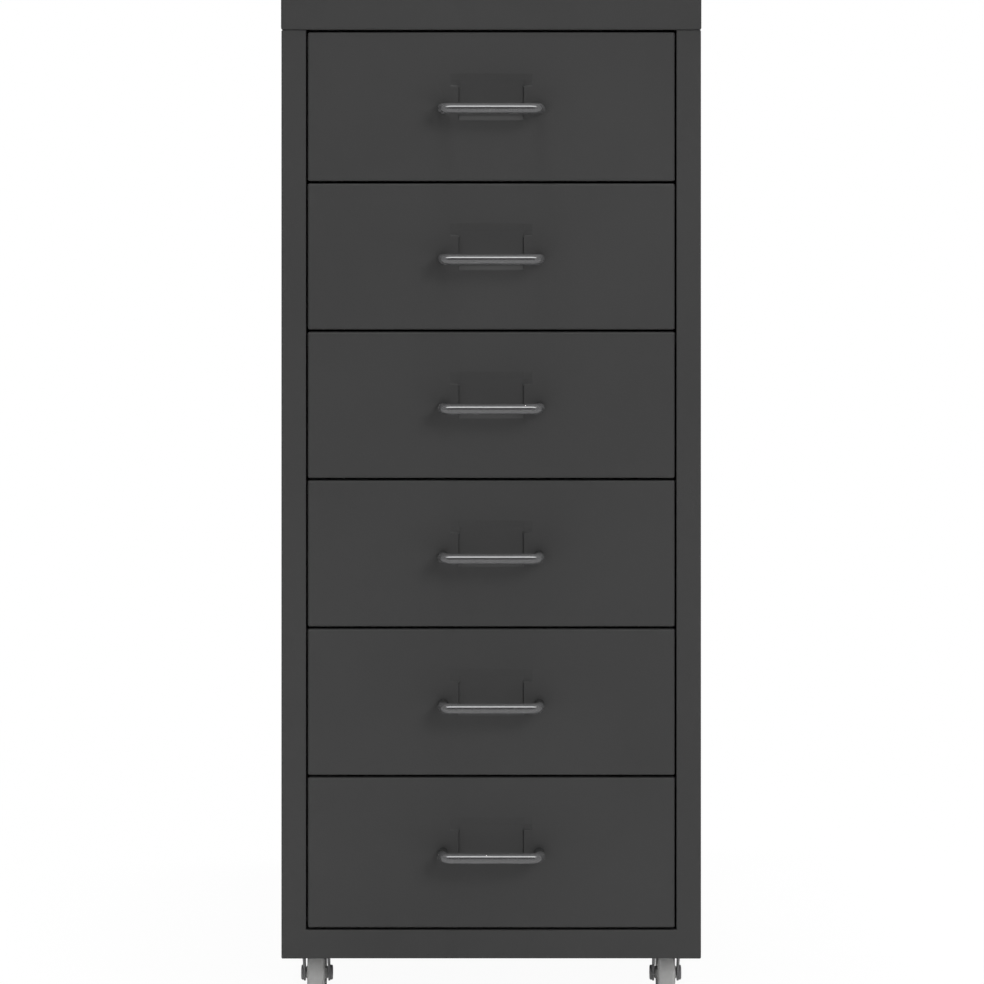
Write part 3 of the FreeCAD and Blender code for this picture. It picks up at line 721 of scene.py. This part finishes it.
def front_sheet(cabinet, number):
    """A pan with the card holder pressed out of it: slits part a flap from its two shoulders."""
    sheet, card = cabinet.sheet, cabinet.card_holder
    name = f"drawer_{number}_front"
    low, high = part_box(name)
    handle_low, handle_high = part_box(f"drawer_{number}_handle")
    grip = (handle_low.z + handle_high.z) / 2
    flap = card.flap / 2
    slit = flap + card.slit
    shoulder = flap + card.shoulder
    top = grip + card.top_rise
    pocket_top = top - card.top_slope
    mouth = pocket_top - card.mouth
    shoulder_end = mouth - card.shoulder_slope
    bottom = grip - card.bottom_drop
    slope_end = bottom + card.bottom_slope
    levels = (top, pocket_top, mouth, shoulder_end, slope_end, bottom)
    bm = bmesh.new()
    plate(bm, low, (high.x, low.y, high.z))
    for x in (flap, shoulder):
        cut(bm, "x", x)
        cut(bm, "x", -x)
    for z in levels:
        cut(bm, "z", z)
    for side in SIDES.values():
        beside = [f for f in bm.faces if flap < side * middle(f).x < shoulder]
        cut(bm, "x", side * slit, [f for f in beside if bottom < middle(f).z < shoulder_end])
    slits = [
        f for f in bm.faces if flap < abs(middle(f).x) < slit and bottom < middle(f).z < shoulder_end
    ]
    bmesh.ops.delete(bm, geom=slits, context="FACES")
    upright = [e for e in bm.edges if lies_at(e, "x", flap) or lies_at(e, "x", -flap)]
    open_sides = [e for e in upright if shoulder_end < middle(e).z < mouth]
    bmesh.ops.split_edges(bm, edges=open_sides)
    for face in bm.faces:
        centre = middle(face)
        if abs(centre.x) < shoulder and bottom < centre.z < top:
            for vert in face.verts:
                reach = holder_depth(card, levels, abs(centre.x) < flap, vert.co.x, vert.co.z)
                vert.co.y = max(vert.co.y, low.y + reach)
    ends = (("x", low.x), ("x", high.x), ("z", low.z), ("z", high.z))
    rim = [e for e in bm.edges if any(lies_at(e, axis, end) for axis, end in ends)]
    push(bm, rim, (0, high.y - low.y, 0))
    face_out(bm, (0, -1, 0))
    folds = [
        e
        for e in bm.edges
        if turned(e, SHARP) and not (abs(middle(e).x) <= shoulder and bottom - MERGE < middle(e).z < top)
    ]
    round_edges(bm, folds, sheet.bend, sheet.bend_steps)
    creases = [e for e in bm.edges if turned(e, CREASE) and abs(middle(e).x) < shoulder + MERGE]
    creases = [e for e in creases if bottom - card.crease < middle(e).z < top + card.crease]
    round_edges(bm, creases, card.crease, 3)
    add_sheet(cabinet, f"drawer_{number}_front_sheet", bm, f"drawer_{number}", [name])


def tray_sheet(cabinet, number):
    """Floor, walls and lips in one folded strip, with a back and the tabs that hold the front."""
    tray, sheet = cabinet.tray, cabinet.sheet
    name = f"drawer_{number}_tray"
    body = f"drawer_{number}"
    low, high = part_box(name)
    rim = high.z - tray.ear
    under_lip = rim - sheet.gauge
    wall = high.x - tray.lip
    tab = wall - tray.tab
    section = [
        (low.x, under_lip),
        (-wall, under_lip),
        (-wall, low.z),
        (wall, low.z),
        (wall, under_lip),
        (high.x, under_lip),
    ]
    bm = bmesh.new()
    corners = [bm.verts.new((x, low.y, z)) for x, z in section]
    strip = [bm.edges.new(pair) for pair in zip(corners, corners[1:])]
    push(bm, strip, (0, high.y - low.y, 0))
    cut(bm, "y", low.y + tray.lip_setback)
    lip_ends = [f for f in bm.faces if abs(middle(f).x) > wall and middle(f).y < low.y + tray.lip_setback]
    bmesh.ops.delete(bm, geom=lip_ends, context="FACES")
    cut(bm, "x", -tab)
    cut(bm, "x", tab)
    floor_ends = [e for e in bm.edges if lies_at(e, "z", low.z) and abs(middle(e).x) < wall]
    push(bm, [e for e in floor_ends if lies_at(e, "y", high.y)], (0, 0, rim - low.z))
    push(bm, [e for e in floor_ends if lies_at(e, "y", low.y) and abs(middle(e).x) < tab], (0, 0, tray.tab))
    for side in SIDES.values():
        wall_end = [e for e in bm.edges if lies_at(e, "x", side * wall) and lies_at(e, "y", low.y)]
        push(bm, wall_end, (-side * tray.tab, 0, 0))
    face_out(bm, (0, 0, -1))
    round_edges(bm, [e for e in bm.edges if turned(e, SHARP)], sheet.bend, sheet.bend_steps)
    add_sheet(cabinet, f"{body}_tray_sheet", bm, body, [name])
    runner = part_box(f"right_runner_{number}")[0]
    travel = next(j["range_m"][1] for j in frame["joints"] if j["child"] == body)
    ear = runner.y + travel + tray.ear_gap
    bm = bmesh.new()
    for side in SIDES.values():
        ends = sorted((side * runner.x, side * high.x))
        block(bm, (ends[0], ear, rim), (ends[1], ear + sheet.gauge, high.z))
    add_piece(cabinet, f"{body}_stop_ears", bm, body, "grey_paint", [], edge=sheet.edge)


def handle_wire(cabinet, number):
    """A wire bow: a ring drawn out, bent, drawn along, bent back and drawn in again."""
    handle = cabinet.handle
    name = f"drawer_{number}_handle"
    low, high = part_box(name)
    radius = handle.wire / 2
    grip = (low.z + high.z) / 2
    half = high.x - radius
    corner_x = half - handle.bend
    corner_y = low.y + radius + handle.bend
    bm = bmesh.new()
    start = Matrix.Translation((-half, high.y, grip)) @ Matrix.Rotation(math.pi / 2, 4, "X")
    bmesh.ops.create_circle(bm, segments=handle.sides, radius=radius, matrix=start)
    ring = push(bm, bm.edges[:], (0, corner_y - high.y, 0))
    ring = bend_round(bm, ring, (-corner_x, corner_y, grip), handle.bend_steps)
    ring = push(bm, ring, (2 * corner_x, 0, 0))
    ring = bend_round(bm, ring, (corner_x, corner_y, grip), handle.bend_steps)
    push(bm, ring, (0, high.y - corner_y, 0))
    bmesh.ops.holes_fill(bm, edges=[e for e in bm.edges if e.is_boundary])
    bmesh.ops.recalc_face_normals(bm, faces=bm.faces[:])
    add_piece(cabinet, f"drawer_{number}_handle_wire", bm, f"drawer_{number}", "chromed_wire", [name])


def bend_round(bm, ring, centre, steps):
    """Draws a ring of edges a quarter turn round an upright axis."""
    spun = bmesh.ops.spin(bm, geom=ring, cent=centre, axis=AXES["z"], angle=math.pi / 2, steps=steps)
    return [item for item in spun["geom_last"] if isinstance(item, bmesh.types.BMEdge)]


# Casters and fasteners


def wheel_moulding(cabinet, caster):
    """A moulded wheel, turned from its section: hub, web, rim and tread."""
    wheel = cabinet.wheel
    name = f"{caster}_caster_wheel"
    low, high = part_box(name)
    centre = (low + high) / 2
    radius = (high.z - low.z) / 2
    hub_end = (high.x - low.x) / 2
    rim_inside = radius - wheel.rim
    right = [
        (hub_end, wheel.bore / 2),
        (hub_end, wheel.hub / 2),
        (wheel.web / 2, wheel.hub / 2 + wheel.draft),
        (wheel.web / 2, rim_inside - wheel.draft),
        (wheel.width / 2, rim_inside),
        (wheel.width / 2 - wheel.draft / 2, radius),
    ]
    section = right + [(-x, r) for x, r in reversed(right)]
    bm = bmesh.new()
    corners = [bm.verts.new(centre + Vector((x, 0, r))) for x, r in section]
    loop = [bm.edges.new(pair) for pair in zip(corners, corners[1:] + corners[:1])]
    bmesh.ops.spin(
        bm, geom=loop, cent=centre, axis=AXES["x"], angle=math.tau, steps=wheel.steps, use_merge=True
    )
    bmesh.ops.remove_doubles(bm, verts=bm.verts[:], dist=MERGE)
    bmesh.ops.recalc_face_normals(bm, faces=bm.faces[:])
    corners = [e for e in bm.edges if turned(e, SHARP)]
    tread = [e for e in corners if (middle(e) - centre).yz.length > rim_inside + wheel.rim / 2]
    round_edges(bm, tread, wheel.tread_round, 4)
    corners = [e for e in bm.edges if turned(e, SHARP)]
    round_edges(bm, corners, wheel.soften, 2)
    add_piece(cabinet, f"{caster}_wheel_moulding", bm, f"{caster}_caster_roller", "grey_plastic", [name])


def softened(cabinet, name, slot, edge):
    """A merged copy of a CAD node whose sharp edges are rounded, as plating rounds pressed steel."""
    node = frame["nodes"][name]
    bm = bmesh.new()
    bm.from_mesh(node.data)
    bmesh.ops.remove_doubles(bm, verts=bm.verts[:], dist=MERGE)
    bmesh.ops.dissolve_limit(bm, angle_limit=FLAT, verts=bm.verts[:], edges=bm.edges[:])
    add_piece(cabinet, f"{name}_plated", bm, node["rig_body"], slot, [name], edge=edge)


# Stage

# Each lamp's width and height, and the place that it shines from
LAMPS = {
    "key": ((1.2, 1.2), (1.6, -2.8, 1.75)),
    "fill": ((2.4, 1.0), (-0.3, -3.0, 0.55)),
    "top": ((1.2, 0.24), (0.1, -0.34, 3.2)),
    "back": ((2.0, 2.0), (-0.6, 2.6, 1.8)),
}


def add_lamp(name, size, power, place, target):
    """A soft lamp turned to a target, which gloss and polish don't show."""
    lamp = bpy.data.lights.new(name, "AREA")
    lamp.shape = "RECTANGLE"
    lamp.size, lamp.size_y = size
    lamp.energy = power
    holder = bpy.data.objects.new(name, lamp)
    holder.location = place
    holder.rotation_euler = (Vector(target) - Vector(place)).to_track_quat("-Z", "Y").to_euler()
    holder.visible_glossy = False
    bpy.context.scene.collection.objects.link(holder)


def add_stage_plate(name, low, high, material):
    """A flat piece of the stage between two corners that share a level."""
    bm = bmesh.new()
    plate(bm, low, high)
    mesh = bpy.data.meshes.new(name)
    bm.to_mesh(mesh)
    bm.free()
    mesh.materials.append(material)
    piece = bpy.data.objects.new(name, mesh)
    bpy.context.scene.collection.objects.link(piece)
    return piece


def seen_directly(nodes):
    """1 for the camera and for what metal and glass mirror, and 0 for light that falls on things."""
    path = nodes.tree.nodes.new("ShaderNodeLightPath")
    camera, glossy, through = (
        Socket(nodes.tree, path.outputs[name])
        for name in ("Is Camera Ray", "Is Glossy Ray", "Is Transmission Ray")
    )
    return camera.math("MAXIMUM", camera.math("MAXIMUM", camera, glossy), through)


def white_world(stage):
    """White surroundings as the camera and gloss see them, and a weaker light on everything."""
    world = bpy.data.worlds.new("studio")
    bpy.context.scene.world = world
    nodes = fresh_tree(world)
    strength = seen_directly(nodes) * (1 - stage.ambient) + stage.ambient
    background = nodes.add("ShaderNodeBackground", inputs={"Color": (1, 1, 1, 1), "Strength": strength})
    nodes.add("ShaderNodeOutputWorld", inputs={"Surface": background})


def floor_finish(stage):
    """A pale floor that keeps the object's shadow near it and fades to white further out."""
    material, nodes, place = new_finish("pale_floor")
    distance = nodes.add("ShaderNodeVectorMath", {"operation": "LENGTH"}, {0: place}, "Value")
    fade = stretch(nodes, distance, stage.shadow_start, stage.shadow_reach)
    matt = nodes.add("ShaderNodeBsdfDiffuse", inputs={"Color": (*stage.floor, 1)})
    white = nodes.add("ShaderNodeEmission", inputs={"Color": (1, 1, 1, 1)})
    share = seen_directly(nodes) * (fade * (1 - stage.shadow_white) + stage.shadow_white)
    mixed = nodes.add("ShaderNodeMixShader", inputs={0: share, 1: matt, 2: white})
    nodes.add("ShaderNodeOutputMaterial", inputs={"Surface": mixed})
    return material


def add_flag(name, low, high, grey):
    """A studio flag: a plain card that only gloss and polish show."""
    material = bpy.data.materials.new(name)
    nodes = fresh_tree(material)
    card = nodes.add("ShaderNodeEmission", inputs={"Color": (grey, grey, grey, 1)})
    nodes.add("ShaderNodeOutputMaterial", inputs={"Surface": card})
    flag = add_stage_plate(name, low, high, material)
    flag.visible_camera = False
    flag.visible_diffuse = False
    flag.visible_transmission = False
    flag.visible_shadow = False


def add_flags(stage):
    """Flags round the set and over it. The strip left open in front overhead is what bright wire shows."""
    side, front, top = stage.room
    bottom = FLAG_HEIGHT
    add_flag("front_flag", (-side, front, bottom), (side, front, top), stage.front_flag)
    add_flag("left_flag", (-side, front, bottom), (-side, -front, top), stage.side_flag)
    add_flag("right_flag", (side, front, bottom), (side, -front, top), stage.side_flag)
    add_flag("ceiling_flag", (-side, front + stage.light_strip, top), (side, -front, top), stage.side_flag)
    add_flag("floor_flag", (-side, front, bottom), (side, -front, bottom), stage.floor_flag)


def set_camera(stage):
    """A level camera in front, shifted down to the cabinet as a view camera is."""
    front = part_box("base_panel")[0]
    width = stage.picture_side / stage.pixels_per_metre
    middle_pixel = stage.picture_side / 2
    centre_x = (middle_pixel - stage.middle_column) / stage.pixels_per_metre
    centre_z = front.z + (stage.apron_row - middle_pixel) / stage.pixels_per_metre
    camera = bpy.data.cameras.new("camera")
    camera.lens = camera.sensor_width * stage.view_distance / width
    camera.shift_y = (centre_z - stage.view_height) / width
    holder = bpy.data.objects.new("camera", camera)
    holder.location = (centre_x, front.y - stage.view_distance, stage.view_height)
    holder.rotation_euler = (math.pi / 2, 0, 0)
    bpy.context.scene.collection.objects.link(holder)
    bpy.context.scene.camera = holder


# Operators


class CABINET_OT_add_case(Operator):
    """Adds the folded sheets of the case, and finishes its runners"""

    bl_idname = "cabinet.add_case"
    bl_label = "Add Case"

    def execute(self, context):
        cabinet = context.scene.cabinet
        for side in SIDES:
            side_sheet(cabinet, side)
        cover_sheet(cabinet)
        base_sheet(cabinet)
        back_sheet(cabinet)
        runners = [f"{side}_runner_{number}" for side in SIDES for number in DRAWERS]
        paint_nodes(cabinet, "grey_paint", runners)
        return {"FINISHED"}


class CABINET_OT_add_fronts(Operator):
    """Adds the drawer fronts with their pressed card holders"""

    bl_idname = "cabinet.add_fronts"
    bl_label = "Add Drawer Fronts"

    def execute(self, context):
        for number in DRAWERS:
            front_sheet(context.scene.cabinet, number)
        return {"FINISHED"}


class CABINET_OT_add_trays(Operator):
    """Adds the drawers' trays and their stop ears"""

    bl_idname = "cabinet.add_trays"
    bl_label = "Add Trays"

    def execute(self, context):
        for number in DRAWERS:
            tray_sheet(context.scene.cabinet, number)
        return {"FINISHED"}


class CABINET_OT_add_handles(Operator):
    """Adds the wire handles"""

    bl_idname = "cabinet.add_handles"
    bl_label = "Add Handles"

    def execute(self, context):
        for number in DRAWERS:
            handle_wire(context.scene.cabinet, number)
        return {"FINISHED"}


class CABINET_OT_add_casters(Operator):
    """Adds the casters: wheels, and forks, axles and mounts in zinc"""

    bl_idname = "cabinet.add_casters"
    bl_label = "Add Casters"

    def execute(self, context):
        cabinet = context.scene.cabinet
        for caster in CASTERS:
            wheel_moulding(cabinet, caster)
            for part in ("fork", "axle", "mount"):
                softened(cabinet, f"{caster}_caster_{part}", "zinc_steel", cabinet.sheet.edge)
        return {"FINISHED"}


class CABINET_OT_add_fasteners(Operator):
    """Adds the screws and nuts"""

    bl_idname = "cabinet.add_fasteners"
    bl_label = "Add Fasteners"

    def execute(self, context):
        cabinet = context.scene.cabinet
        groups = [f"drawer_{number}_handle_screws" for number in DRAWERS]
        for name in groups + ["back_screws", "cover_screws", "caster_nuts"]:
            softened(cabinet, name, "zinc_steel", cabinet.sheet.edge)
        return {"FINISHED"}


class CABINET_OT_set_stage(Operator):
    """Sets the camera, the lamps, the floor and the white surroundings"""

    bl_idname = "cabinet.set_stage"
    bl_label = "Set Stage"

    def execute(self, context):
        stage = context.scene.cabinet.stage
        context.scene.view_settings.view_transform = "Standard"
        set_camera(stage)
        white_world(stage)
        half = stage.floor_size / 2
        add_stage_plate("floor", (-half, -half, 0), (half, half, 0), floor_finish(stage))
        target = (0, 0, CAD_BOX[1].z / 2)
        for name, (size, place) in LAMPS.items():
            add_lamp(f"{name}_lamp", size, getattr(stage, f"{name}_power"), place, target)
        add_flags(stage)
        return {"FINISHED"}


class CABINET_PT_panel(Panel):
    """Lists the cabinet's settings and what it can add"""

    bl_label = "Drawer Cabinet"
    bl_idname = "CABINET_PT_panel"
    bl_space_type = "VIEW_3D"
    bl_region_type = "UI"
    bl_category = "Cabinet"

    def draw(self, context):
        for group in SETTINGS:
            settings = getattr(context.scene.cabinet, group)
            box = self.layout.box()
            box.label(text=group.replace("_", " ").capitalize())
            for name in settings.__annotations__:
                box.prop(settings, name)
        for operator in OPERATORS:
            self.layout.operator(operator.bl_idname)


SETTINGS = tuple(CabinetSettings.__annotations__)
OPERATORS = (
    CABINET_OT_add_case,
    CABINET_OT_add_fronts,
    CABINET_OT_add_trays,
    CABINET_OT_add_handles,
    CABINET_OT_add_casters,
    CABINET_OT_add_fasteners,
    CABINET_OT_set_stage,
)
CLASSES = (
    SheetSettings,
    CaseSettings,
    CardHolderSettings,
    TraySettings,
    HandleSettings,
    WheelSettings,
    FinishSettings,
    StageSettings,
    CabinetSettings,
    *OPERATORS,
    CABINET_PT_panel,
)


def register():
    for added in CLASSES:
        bpy.utils.register_class(added)
    bpy.types.Scene.cabinet = PointerProperty(type=CabinetSettings)


def unregister():
    del bpy.types.Scene.cabinet
    for added in reversed(CLASSES):
        bpy.utils.unregister_class(added)


def main():
    register()
    bpy.ops.cabinet.add_case()
    bpy.ops.cabinet.add_fronts()
    bpy.ops.cabinet.add_trays()
    bpy.ops.cabinet.add_handles()
    bpy.ops.cabinet.add_casters()
    bpy.ops.cabinet.add_fasteners()
    bpy.ops.cabinet.set_stage()


if __name__ == "__main__":
    main()
